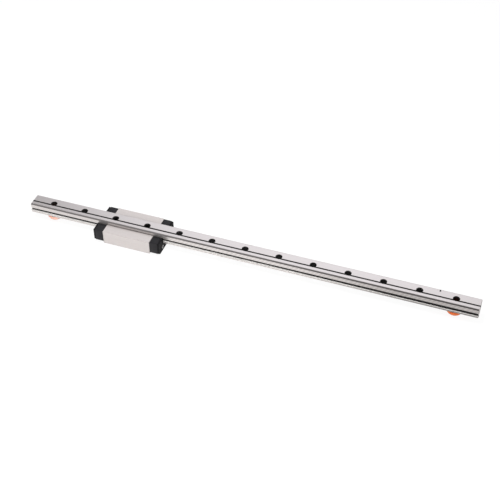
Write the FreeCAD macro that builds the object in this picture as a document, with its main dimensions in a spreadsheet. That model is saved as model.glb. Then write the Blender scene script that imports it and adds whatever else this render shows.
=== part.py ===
"""Miniature profile linear guide: ground rail, long runner block, end caps, balls and plugs.

The guide lies upside down, as in the photograph: the rail's mounting face looks up and
the block's mounting face rests on the floor.  X runs along the rail, Y across it and
+Z is up.  The origin is on the floor under the middle of the rail.
"""

import FreeCAD, Part

import math
import os
import re

import Sketcher

# Every driving dimension, in millimetres unless its note says otherwise.
SIZES = {
    # rail
    "rail_length": (200.0, "overall length of the rail"),
    "rail_width": (7.0, "across the ground flanks"),
    "rail_height": (4.8, "mounting face to top face"),
    "rail_base_chamfer": (0.45, "edges beside the mounting face"),
    "rail_base_ease": (0.18, "shallow facet between mounting face and base chamfer"),
    "rail_base_ease_drop": (0.05, "fall of the shallow facet"),
    "rail_top_chamfer": (0.35, "edges beside the top face"),
    "rail_end_chamfer": (0.25, "round both end faces"),
    "datum_line_offset": (1.04, "datum groove to the rail's middle"),
    "datum_line_width": (0.8, "width of the datum groove"),
    "datum_line_depth": (0.2, "depth of the datum groove"),
    # mounting holes of the rail
    "hole_pitch": (15.0, "screw hole to screw hole"),
    "hole_end_margin": (10.0, "least distance from a hole to the rail's end"),
    "screw_hole_diameter": (2.4, "clearance hole for an M2 screw"),
    "counterbore_diameter": (4.2, "seat of the screw head"),
    "counterbore_depth": (2.3, "seat below the top face"),
    "hole_edge_chamfer": (0.3, "round each hole in the mounting face"),
    # ball tracks
    "ball_diameter": (1.5, "load balls"),
    "ball_height": (2.88, "ball centres below the mounting face"),
    "ball_overhang": (0.1, "ball centres outside the flank"),
    "ball_clearance": (0.03, "between a ball and each track"),
    "arch_offset": (0.07, "shift of each arc that makes the gothic arch"),
    "ball_spacing": (1.56, "ball to ball along the row"),
    "track_end_margin": (0.6, "block's end face to the first ball"),
    # runner block
    "assembly_height": (8.0, "mounting face of the rail to mounting face of the block"),
    "block_width": (17.0, "across the block"),
    "block_length": (21.8, "steel body"),
    "block_lift": (1.5, "rail's mounting face to the block's skirt"),
    "block_edge_chamfer": (0.2, "long edges beside the mounting face"),
    "skirt_edge_chamfer": (0.1, "long edges beside the skirt face"),
    "block_end_chamfer": (0.15, "round the end faces of the steel body"),
    "channel_side_gap": (0.3, "rail's flank to the block's wall"),
    "channel_roof_gap": (0.4, "rail's top face to the block's roof"),
    "thread_drill_diameter": (1.6, "core of the M2 threads"),
    "thread_depth": (2.5, "depth of the M2 holes"),
    "thread_span_across": (12.0, "M2 hole to M2 hole across the block"),
    "thread_span_along": (13.0, "M2 hole to M2 hole along the block"),
    "return_bore_diameter": (1.7, "ball return bores through the block"),
    "return_bore_height": (3.9, "return bores below the rail's mounting face"),
    # end caps, end seals and their screws
    "cap_length": (3.7, "moulded end cap"),
    "cap_side_inset": (0.2, "cap inside the block's side"),
    "cap_mount_inset": (0.15, "cap inside the block's mounting face"),
    "cap_skirt_inset": (0.1, "cap inside the block's skirt face"),
    "cap_mount_corner": (0.8, "chamfer of the outline beside the mounting face"),
    "cap_skirt_corner": (0.12, "chamfer of the outline beside the skirt face"),
    "cap_seam_chamfer": (0.15, "outer edge of the cap, along its seam with the seal"),
    "cap_rail_gap": (0.25, "rail to cap"),
    "seal_length": (0.8, "wiper plate"),
    "seal_inset": (0.12, "seal inside the cap's outline"),
    "seal_end_chamfer": (0.2, "outer edge of the seal"),
    "seal_rail_gap": (0.08, "rail to wiper lip"),
    "cap_screw_head_share": (0.6, "head of a cap screw, of the seal's height under the rail"),
    "cap_screw_shank_share": (0.62, "shank of a cap screw, of its head"),
    "cap_screw_head_length": (0.7, "head of a cap screw, sunk in the seal"),
    "cap_screw_head_gap": (0.1, "head of a cap screw to the seal, all round"),
    "cap_screw_reach": (3.0, "shank inside the steel body"),
    "cap_screw_side_step": (0.4, "rail's flank to the middle of a screw"),
    # stopper plugs
    "plug_head_diameter": (7.3, "soft head of a plug"),
    "plug_head_depth": (3.19, "head of a plug under the rail"),
    "plug_stem_length": (2.1, "stem in the counterbore"),
    # where the block stands on the rail
    "block_station": (38.35, "middle of the block from the first plug's axis"),
}

# How many mounting holes fit on the rail, and the first one's distance from the middle.
HOLE_COUNT = "(floor((rail_length - 2 * hole_end_margin) / hole_pitch + 0.001) + 1)"
FIRST_HOLE = f"(({HOLE_COUNT} - 1) * hole_pitch / 2)"

# Heights over the floor.
RAIL_TOP = "(assembly_height - rail_height)"
SKIRT = "(assembly_height - block_lift)"
ROOF = f"({RAIL_TOP} - channel_roof_gap)"
BALL_Z = "(assembly_height - ball_height)"
BALL_Y = "(rail_width / 2 + ball_overhang)"
ARC_RADIUS = "(ball_diameter / 2 + ball_clearance + arch_offset)"
CHANNEL_HALF = "(rail_width / 2 + channel_side_gap)"
RETURN_Y = f"(({CHANNEL_HALF} + block_width / 2) / 2)"
SCREW_Y = "(rail_width / 2 + cap_screw_side_step)"
SEAL_LOW = "(cap_mount_inset + seal_inset)"
SEAL_WEB = f"({RAIL_TOP} - seal_rail_gap - {SEAL_LOW})"
SCREW_Z = f"({SEAL_LOW} + {SEAL_WEB} / 2)"
SCREW_HEAD = f"({SEAL_WEB} * cap_screw_head_share)"
SCREW_SHANK = f"({SCREW_HEAD} * cap_screw_shank_share)"
BLOCK_X = f"(block_station - {FIRST_HOLE})"

# Corners of a plug's dome, in degrees down from its rim; the last one rings the flat tip.
PLUG_DOME = (0, 25, 50, 75)

doc = FreeCAD.newDocument("linear_guide")
sheet = doc.addObject("Spreadsheet::Sheet", "sizes")
for line, (alias, (value, note)) in enumerate(SIZES.items(), start=1):
    sheet.set(f"A{line}", alias.replace("_", " "))
    sheet.set(f"B{line}", str(value))
    sheet.set(f"C{line}", note)
    sheet.setAlias(f"B{line}", alias)
doc.recompute()

ALIAS = re.compile(r"\b(" + "|".join(sorted(SIZES, key=len, reverse=True)) + r")\b")


def bind(feature, path, formula):
    """Tie a property of a feature to a formula over the sheet's sizes."""
    feature.setExpression(path, ALIAS.sub(r"sizes.\1", formula))


def size(alias):
    """Value of one size."""
    return float(sheet.get(alias))


def plane(body, role):
    """Origin plane or axis of a body."""
    return next(part for part in body.Origin.OriginFeatures if part.Role == role)


def new_body(name, along="0"):
    """Empty body whose own frame stands at a distance along the rail."""
    body = doc.addObject("PartDesign::Body", name)
    body.Label = name
    bind(body, "Placement.Base.x", along)
    return body


def new_sketch(body, name, role, offset=("0", "0", "0")):
    """Sketch on an origin plane of the body, shifted in the plane's own directions."""
    sketch = body.newObject("Sketcher::SketchObject", name)
    sketch.AttachmentSupport = [(plane(body, role), "")]
    sketch.MapMode = "FlatFace"
    for axis, formula in zip("xyz", offset):
        bind(sketch, f"AttachmentOffset.Base.{axis}", formula)
    return sketch


def locate(sketch, geometry, point, across, up, drawn=(1.0, 1.0)):
    """Fix one point of a sketch at two formulas, from where it was drawn."""
    for kind, formula, value in (("DistanceX", across, drawn[0]), ("DistanceY", up, drawn[1])):
        rule = Sketcher.Constraint(kind, -1, 1, geometry, point, value)
        bind(sketch, f"Constraints[{sketch.addConstraint(rule)}]", formula)


def outline(sketch, corners):
    """Closed polygon through corners given as pairs of formulas."""
    turn = 2 * math.pi / len(corners)
    spots = [
        FreeCAD.Vector(math.cos(turn * step), math.sin(turn * step), 0)
        for step in range(len(corners))
    ]
    lines = [
        sketch.addGeometry(Part.LineSegment(here, there), False)
        for here, there in zip(spots, spots[1:] + spots[:1])
    ]
    for here, there in zip(lines, lines[1:] + lines[:1]):
        sketch.addConstraint(Sketcher.Constraint("Coincident", here, 2, there, 1))
    for line, (across, up) in zip(lines, corners):
        locate(sketch, line, 1, across, up)


def mirrored(half):
    """Both halves of an outline, from the right half listed from one end to the other."""
    return half + [(f"-({across})", up) for across, up in reversed(half)]


def circle(sketch, across, up, radius):
    """Circle whose centre and radius are formulas."""
    shape = Part.Circle(FreeCAD.Vector(0, 0, 0), FreeCAD.Vector(0, 0, 1), 1.0)
    number = sketch.addGeometry(shape, False)
    locate(sketch, number, 3, across, up)
    rule = sketch.addConstraint(Sketcher.Constraint("Radius", number, 1.0))
    bind(sketch, f"Constraints[{rule}]", radius)


def gothic_arch(sketch, side, shift):
    """Lens of two arcs that touch a ball at 45 degrees, on one side of the rail.

    side is +1 or -1 across the rail; shift is +1 where the arch opens outwards, for the
    rail, and -1 where it opens inwards, for the block.
    """
    reach = size("ball_diameter") / 2 + size("ball_clearance") + size("arch_offset")
    step = size("arch_offset") * math.sqrt(0.5)
    middle = side * (size("rail_width") / 2 + size("ball_overhang") + shift * step)
    height = size("assembly_height") - size("ball_height")
    slant = math.asin(step / reach)
    arcs = []
    for way in (1, -1):
        centre = FreeCAD.Vector(middle, height - way * step, 0)
        ring = Part.Circle(centre, FreeCAD.Vector(0, 0, 1), reach)
        start = slant if way > 0 else math.pi + slant
        arcs.append(
            sketch.addGeometry(Part.ArcOfCircle(ring, start, start + math.pi - 2 * slant), False)
        )
    upper, lower = arcs
    sketch.addConstraint(Sketcher.Constraint("Coincident", upper, 2, lower, 1))
    sketch.addConstraint(Sketcher.Constraint("Coincident", lower, 2, upper, 1))
    across = f"{side} * ({BALL_Y} + {shift} * arch_offset * sqrt(0.5))"
    for arc, way in ((upper, 1), (lower, -1)):
        up = f"{BALL_Z} - {way} * arch_offset * sqrt(0.5)"
        locate(sketch, arc, 3, across, up, drawn=(middle, height - way * step))
    rule = sketch.addConstraint(Sketcher.Constraint("Radius", upper, reach))
    bind(sketch, f"Constraints[{rule}]", ARC_RADIUS)
    sketch.addConstraint(Sketcher.Constraint("Equal", upper, lower))


def pad(body, name, sketch, length, both=False, back=False):
    """Solid made from a sketch."""
    feature = body.newObject("PartDesign::Pad", name)
    feature.Profile = sketch
    bind(feature, "Length", length)
    feature.SideType = "Symmetric" if both else "One side"
    feature.Reversed = back
    return feature


def pocket(body, name, sketch, depth=None, both=False, back=False):
    """Cut made from a sketch, to a depth or through everything."""
    feature = body.newObject("PartDesign::Pocket", name)
    feature.Profile = sketch
    feature.SideType = "Symmetric" if both else "One side"
    feature.Reversed = back
    if depth is None:
        feature.Type = "ThroughAll"
    else:
        bind(feature, "Length", depth)
    return feature


def row(body, name, features, direction, length, count):
    """Features repeated in a straight row."""
    pattern = body.newObject("PartDesign::LinearPattern", name)
    pattern.Originals = features
    pattern.Direction = (plane(body, direction), [""])
    bind(pattern, "Length", length)
    bind(pattern, "Occurrences", count)
    body.Tip = pattern
    return pattern


def edges_where(feature, wanted):
    """Names of a feature's edges whose middle and tangent meet a condition."""
    names = []
    for number, edge in enumerate(feature.Shape.Edges, start=1):
        middle = edge.valueAt((edge.FirstParameter + edge.LastParameter) / 2)
        if wanted(edge, middle):
            names.append(f"Edge{number}")
    return names


def chamfer(body, name, base, edges, width):
    """Chamfer on named edges of a feature."""
    feature = body.newObject("PartDesign::Chamfer", name)
    feature.Base = (base, edges)
    bind(feature, "Size", width)
    return feature


def end_edges(base, half_length):
    """Edges that lie wholly in one of the two end faces of a bar along X."""
    doc.recompute()
    box_ends = (half_length, -half_length)
    return edges_where(
        base,
        lambda edge, middle: any(
            abs(edge.BoundBox.XMin - end) < 1e-4 and abs(edge.BoundBox.XMax - end) < 1e-4
            for end in box_ends
        ),
    )


def make_rail():
    """Ground rail with gothic ball tracks, datum groove and counterbored holes."""
    body = new_body("rail")
    section = new_sketch(body, "rail_section", "YZ_Plane")
    outline(
        section,
        mirrored(
            [
                ("rail_width / 2 - rail_base_chamfer - rail_base_ease", "assembly_height"),
                ("rail_width / 2 - rail_base_chamfer", "assembly_height - rail_base_ease_drop"),
                ("rail_width / 2", "assembly_height - rail_base_chamfer"),
                ("rail_width / 2", f"{RAIL_TOP} + rail_top_chamfer"),
                ("rail_width / 2 - rail_top_chamfer", RAIL_TOP),
            ]
        ),
    )
    bar = pad(body, "rail_bar", section, "rail_length", both=True)
    bar = chamfer(
        body, "rail_ends", bar, end_edges(bar, size("rail_length") / 2), "rail_end_chamfer"
    )

    tracks = new_sketch(body, "rail_track_section", "YZ_Plane")
    for side in (1, -1):
        gothic_arch(tracks, side, 1)
    pocket(body, "rail_tracks", tracks, "rail_length + 2", both=True)

    line = new_sketch(body, "datum_line_section", "YZ_Plane")
    outline(
        line,
        [
            ("-datum_line_offset - datum_line_width / 2", "assembly_height"),
            ("-datum_line_offset", "assembly_height - datum_line_depth"),
            ("-datum_line_offset + datum_line_width / 2", "assembly_height"),
        ],
    )
    pocket(body, "datum_line", line, "rail_length + 2", both=True)

    bore = new_sketch(body, "screw_hole_profile", "XZ_Plane", (f"-{FIRST_HOLE}", "0", "0"))
    seat = f"({RAIL_TOP} + counterbore_depth)"
    outline(
        bore,
        [
            ("0", "assembly_height"),
            ("screw_hole_diameter / 2 + hole_edge_chamfer", "assembly_height"),
            ("screw_hole_diameter / 2", "assembly_height - hole_edge_chamfer"),
            ("screw_hole_diameter / 2", seat),
            ("counterbore_diameter / 2", seat),
            ("counterbore_diameter / 2", RAIL_TOP),
            ("0", RAIL_TOP),
        ],
    )
    hole = body.newObject("PartDesign::Groove", "screw_hole")
    hole.Profile = bore
    hole.ReferenceAxis = (bore, ["V_Axis"])
    hole.Angle = 360
    row(
        body,
        "screw_holes",
        [hole],
        "X_Axis",
        f"({HOLE_COUNT} - 1) * hole_pitch",
        HOLE_COUNT,
    )
    return body


def make_runner_block():
    """Steel body of the carriage: saddle section, ball tracks, return bores and threads."""
    body = new_body("runner_block", BLOCK_X)
    section = new_sketch(body, "block_section", "YZ_Plane")
    outline(
        section,
        mirrored(
            [
                (CHANNEL_HALF, ROOF),
                (CHANNEL_HALF, SKIRT),
                ("block_width / 2 - skirt_edge_chamfer", SKIRT),
                ("block_width / 2", f"{SKIRT} - skirt_edge_chamfer"),
                ("block_width / 2", "block_edge_chamfer"),
                ("block_width / 2 - block_edge_chamfer", "0"),
            ]
        ),
    )
    saddle = pad(body, "block_saddle", section, "block_length", both=True)
    doc.recompute()
    half = size("block_length") / 2
    channel = size("rail_width") / 2 + size("channel_side_gap")
    outer = edges_where(
        saddle,
        lambda edge, middle: abs(abs(middle.x) - half) < 1e-4
        and edge.BoundBox.XLength < 1e-4
        and (abs(middle.y) > channel + 0.01 or middle.z < 0.01),
    )
    chamfer(body, "block_ends", saddle, outer, "block_end_chamfer")

    tracks = new_sketch(body, "block_track_section", "YZ_Plane")
    for side in (1, -1):
        gothic_arch(tracks, side, -1)
    pocket(body, "block_tracks", tracks, "block_length + 2", both=True)

    returns = new_sketch(body, "return_bore_section", "YZ_Plane")
    for side in ("", "-"):
        circle(
            returns,
            f"{side}{RETURN_Y}",
            "assembly_height - return_bore_height",
            "return_bore_diameter / 2",
        )
    pocket(body, "return_bores", returns, "block_length + 2", both=True)

    shanks = new_sketch(body, "cap_screw_hole_section", "YZ_Plane", ("0", "0", "block_length / 2"))
    for side in ("", "-"):
        circle(
            shanks,
            f"{side}{SCREW_Y}",
            SCREW_Z,
            f"{SCREW_SHANK} / 2",
        )
    screw_holes = pocket(body, "cap_screw_holes", shanks, "cap_screw_reach")
    other_end = body.newObject("PartDesign::Mirrored", "cap_screw_holes_left")
    other_end.Originals = [screw_holes]
    other_end.MirrorPlane = (plane(body, "YZ_Plane"), [""])
    body.Tip = other_end

    threads = new_sketch(body, "thread_section", "XY_Plane")
    for along in ("", "-"):
        for across in ("", "-"):
            circle(
                threads,
                f"{along}thread_span_along / 2",
                f"{across}thread_span_across / 2",
                "thread_drill_diameter / 2",
            )
    pocket(body, "threads", threads, "thread_depth", back=True)
    return body


def cap_outline(inset, gap):
    """Outline of an end cap, drawn in by an inset and open round the rail by a gap."""
    side = f"(block_width / 2 - cap_side_inset - {inset})"
    low = f"(cap_mount_inset + {inset})"
    high = f"({SKIRT} - cap_skirt_inset - {inset})"
    return mirrored(
        [
            (f"rail_width / 2 + {gap}", f"{RAIL_TOP} - {gap}"),
            (f"rail_width / 2 + {gap}", high),
            (f"{side} - cap_skirt_corner", high),
            (side, f"{high} - cap_skirt_corner"),
            (side, f"{low} + cap_mount_corner"),
            (f"{side} - cap_mount_corner", low),
        ]
    )


def outer_edges(base, distance, inset):
    """Edges of a cap's or seal's outline at a distance from the block's middle."""
    doc.recompute()
    channel = size("rail_width") / 2 + size("cap_rail_gap") + 0.01
    low = size("cap_mount_inset") + inset + 0.01
    return edges_where(
        base,
        lambda edge, middle: abs(abs(middle.x) - distance) < 1e-4
        and edge.BoundBox.XLength < 1e-4
        and (abs(middle.y) > channel or middle.z < low),
    )


def make_end_cap(name, side):
    """Moulded cap that turns the balls round, on one end of the steel body."""
    body = new_body(name, BLOCK_X)
    section = new_sketch(
        body, f"{name}_section", "YZ_Plane", ("0", "0", f"{side} * block_length / 2")
    )
    outline(section, cap_outline("0", "cap_rail_gap"))
    block = pad(body, f"{name}_block", section, "cap_length", back=side < 0)
    seam = outer_edges(block, size("block_length") / 2 + size("cap_length"), 0)
    chamfer(body, f"{name}_seam", block, seam, "cap_seam_chamfer")

    shanks = new_sketch(
        body, f"{name}_shank_section", "YZ_Plane", ("0", "0", f"{side} * block_length / 2")
    )
    for across in ("", "-"):
        circle(
            shanks,
            f"{across}{SCREW_Y}",
            SCREW_Z,
            f"{SCREW_SHANK} / 2",
        )
    pocket(body, f"{name}_shank_holes", shanks, "cap_length + 1", back=side > 0)
    return body


def make_end_seal(name, side):
    """Wiper plate that follows the rail's outline, outside an end cap."""
    body = new_body(name, BLOCK_X)
    start = f"{side} * (block_length / 2 + cap_length)"
    section = new_sketch(body, f"{name}_section", "YZ_Plane", ("0", "0", start))
    outline(section, cap_outline("seal_inset", "seal_rail_gap"))
    plate = pad(body, f"{name}_plate", section, "seal_length", back=side < 0)
    outside = size("block_length") / 2 + size("cap_length") + size("seal_length")
    chamfer(
        body,
        f"{name}_edge",
        plate,
        outer_edges(plate, outside, size("seal_inset")),
        "seal_end_chamfer",
    )
    heads = new_sketch(body, f"{name}_head_section", "YZ_Plane", ("0", "0", start))
    for across in ("", "-"):
        circle(
            heads,
            f"{across}{SCREW_Y}",
            SCREW_Z,
            f"{SCREW_HEAD} / 2 + cap_screw_head_gap",
        )
    pocket(body, f"{name}_head_holes", heads, "seal_length + 1", back=side > 0)
    return body


def make_cap_screw(name, side, across):
    """Socket screw that holds a seal and a cap to the steel body."""
    body = new_body(name, BLOCK_X)
    bind(body, "Placement.Base.y", f"{across} * {SCREW_Y}")
    bind(body, "Placement.Base.z", SCREW_Z)
    seat = "(block_length / 2 + cap_length)"
    profile = new_sketch(body, f"{name}_profile", "XZ_Plane")
    outline(
        profile,
        [
            (f"{side} * (block_length / 2 - cap_screw_reach)", "0"),
            (f"{side} * (block_length / 2 - cap_screw_reach)", f"{SCREW_SHANK} / 2"),
            (f"{side} * {seat}", f"{SCREW_SHANK} / 2"),
            (f"{side} * {seat}", f"{SCREW_HEAD} / 2"),
            (f"{side} * ({seat} + cap_screw_head_length)", f"{SCREW_HEAD} / 2"),
            (f"{side} * ({seat} + cap_screw_head_length)", "0"),
        ],
    )
    turned = body.newObject("PartDesign::Revolution", f"{name}_turned")
    turned.Profile = profile
    turned.ReferenceAxis = (profile, ["H_Axis"])
    turned.Angle = 360
    return body


def many_sided_ball(radius, centre, sides=8, bands=4):
    """Ball with flat facets, whose corners lie on the sphere and meet the tracks at 45 degrees."""
    rings = []
    for band in range(bands + 1):
        tilt = math.pi * band / bands
        rings.append(
            [
                centre
                + FreeCAD.Vector(
                    -math.cos(tilt),
                    math.sin(tilt) * math.cos(turn),
                    math.sin(tilt) * math.sin(turn),
                )
                * radius
                for turn in (2 * math.pi * side / sides for side in range(sides))
            ]
        )
    facets = []
    for band, (near, far) in enumerate(zip(rings, rings[1:])):
        for side in range(sides):
            after = (side + 1) % sides
            corners = [near[side], near[after], far[after], far[side]]
            if band == 0:
                corners = [near[side], far[after], far[side]]
            elif band == bands - 1:
                corners = [near[side], near[after], far[side]]
            facets.append(Part.Face(Part.makePolygon(corners + corners[:1])))
    ball = Part.Solid(Part.Shell(facets))
    return ball if ball.Volume > 0 else ball.reversed()


def make_balls(name, side):
    """Row of load balls seated between the rail's and the block's tracks."""
    radius = size("ball_diameter") / 2
    spacing = size("ball_spacing")
    room = size("block_length") - 2 * size("track_end_margin") - size("ball_diameter")
    count = int(room // spacing) + 1
    first = -(count - 1) * spacing / 2
    balls = doc.addObject("Part::Feature", name)
    balls.Label = name
    balls.Shape = Part.makeCompound(
        [
            many_sided_ball(radius, FreeCAD.Vector(first + number * spacing, 0, 0))
            for number in range(count)
        ]
    )
    bind(balls, "Placement.Base.x", BLOCK_X)
    bind(balls, "Placement.Base.y", f"{side} * {BALL_Y}")
    bind(balls, "Placement.Base.z", BALL_Z)
    return balls


def make_plug(name, side):
    """Soft stopper plug: a stem in the counterbore and a domed head under the rail."""
    body = new_body(name, f"{side} * {FIRST_HOLE}")
    bind(body, "Placement.Base.z", RAIL_TOP)
    stem = new_sketch(body, f"{name}_stem_section", "XY_Plane")
    circle(stem, "0", "0", "counterbore_diameter / 2")
    pad(body, f"{name}_stem", stem, "plug_stem_length")

    profile = new_sketch(body, f"{name}_head_profile", "XZ_Plane")
    outline(
        profile,
        [("0", "0")]
        + [
            (
                f"plug_head_diameter / 2 * cos({turn} deg)",
                f"-plug_head_depth * sin({turn} deg) / sin({PLUG_DOME[-1]} deg)",
            )
            for turn in PLUG_DOME
        ]
        + [("0", "-plug_head_depth")],
    )
    head = body.newObject("PartDesign::Revolution", f"{name}_head")
    head.Profile = profile
    head.ReferenceAxis = (profile, ["V_Axis"])
    head.Angle = 360
    return body


nodes = {
    "rail": make_rail(),
    "runner_block": make_runner_block(),
    "end_cap_right": make_end_cap("end_cap_right", 1),
    "end_cap_left": make_end_cap("end_cap_left", -1),
    "end_seal_right": make_end_seal("end_seal_right", 1),
    "end_seal_left": make_end_seal("end_seal_left", -1),
    "load_balls_front": make_balls("load_balls_front", -1),
    "load_balls_rear": make_balls("load_balls_rear", 1),
    "stopper_plug_right": make_plug("stopper_plug_right", 1),
    "stopper_plug_left": make_plug("stopper_plug_left", -1),
}
for end, side in (("right", 1), ("left", -1)):
    for place, across in (("front", -1), ("rear", 1)):
        name = f"cap_screw_{end}_{place}"
        nodes[name] = make_cap_screw(name, side, across)

doc.recompute()

for feature in doc.Objects:
    if {"Invalid", "Error"} & set(feature.State):
        raise SystemExit(f"{feature.Label} failed: {feature.State}")
for name, node in nodes.items():
    if node.Shape.isNull() or not node.Shape.isValid():
        raise SystemExit(f"{name} has no valid shape")

os.makedirs("parts", exist_ok=True)
for name, node in nodes.items():
    node.Shape.exportStep(f"parts/{name}.step")
    box = node.Shape.BoundBox
    print(
        f"{name}: {len(node.Shape.Solids)} solids, {node.Shape.Volume:.3f} mm3, "
        f"x {box.XMin:.2f} {box.XMax:.2f}, y {box.YMin:.2f} {box.YMax:.2f}, "
        f"z {box.ZMin:.2f} {box.ZMax:.2f}"
    )
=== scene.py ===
"""Dresses a miniature profile linear guide: ground rail, runner block, end caps and plugs.

The guide lies upside down on a white table, as in the photograph: the rail's mounting
face looks up, the runner block hangs round the rail, and an orange soft plug stands in
the first and in the last screw hole, with its head under the rail; the left plug is
painted paler, a painted light.  Lengths are in metres; sizes written in millimetres are
multiplied by MM.  X runs along the rail, Z is up.
"""

import logging
import math
from dataclasses import dataclass, replace
from enum import Enum
from functools import reduce

import bmesh
import bpy
from mathutils import Matrix, Vector


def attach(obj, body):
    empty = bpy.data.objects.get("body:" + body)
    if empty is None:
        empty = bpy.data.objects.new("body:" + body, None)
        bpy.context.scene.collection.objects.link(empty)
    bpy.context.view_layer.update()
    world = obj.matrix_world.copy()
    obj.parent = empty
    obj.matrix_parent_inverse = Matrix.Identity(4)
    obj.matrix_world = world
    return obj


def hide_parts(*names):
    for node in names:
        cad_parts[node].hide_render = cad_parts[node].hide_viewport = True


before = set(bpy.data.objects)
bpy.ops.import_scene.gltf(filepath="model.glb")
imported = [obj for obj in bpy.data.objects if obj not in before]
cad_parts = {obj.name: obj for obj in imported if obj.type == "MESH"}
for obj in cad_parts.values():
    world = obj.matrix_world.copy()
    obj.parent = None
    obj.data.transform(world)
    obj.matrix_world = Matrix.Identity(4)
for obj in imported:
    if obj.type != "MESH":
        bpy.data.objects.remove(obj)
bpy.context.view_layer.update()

LOG = logging.getLogger("guide")
MM = 0.001
SAME_PLACE = 1e-6  # Places that are closer than this count as one.
CUT_TOLERANCE = 1e-7  # A cut keeps corners that are this close to its plane.
MERGE_DISTANCE = 0.0005 * MM
SHARP_EDGE = math.radians(20.0)  # Edges that turn more than this get a round.
NOISE_ROUGHNESS = 0.6

Triple = tuple[float, float, float]
Bound = float | bpy.types.NodeSocket
Tone = Triple | bpy.types.NodeSocket

WHITE: Triple = (1.0, 1.0, 1.0)
BLACK: Triple = (0.0, 0.0, 0.0)


class Body(Enum):
    """The two bodies that a piece can ride on."""

    RAIL = "rail"
    CARRIAGE = "carriage"


class Slot(Enum):
    """The record's finishes that a piece can name."""

    BALL = "ball_steel"
    CAP = "cap_plastic"
    SEAL = "seal_rubber"
    SCREW = "screw_steel"
    PLUG = "plug_plastic"


class End(Enum):
    """The ends of the rail and of the carriage, by the side of the middle they lie on."""

    LEFT = -1
    RIGHT = 1

    @property
    def label(self) -> str:
        """Name of the end in node names."""
        return self.name.lower()


class Side(Enum):
    """The sides of the rail: the front one is the camera's."""

    FRONT = -1
    REAR = 1

    @property
    def label(self) -> str:
        """Name of the side in node names."""
        return self.name.lower()


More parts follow.
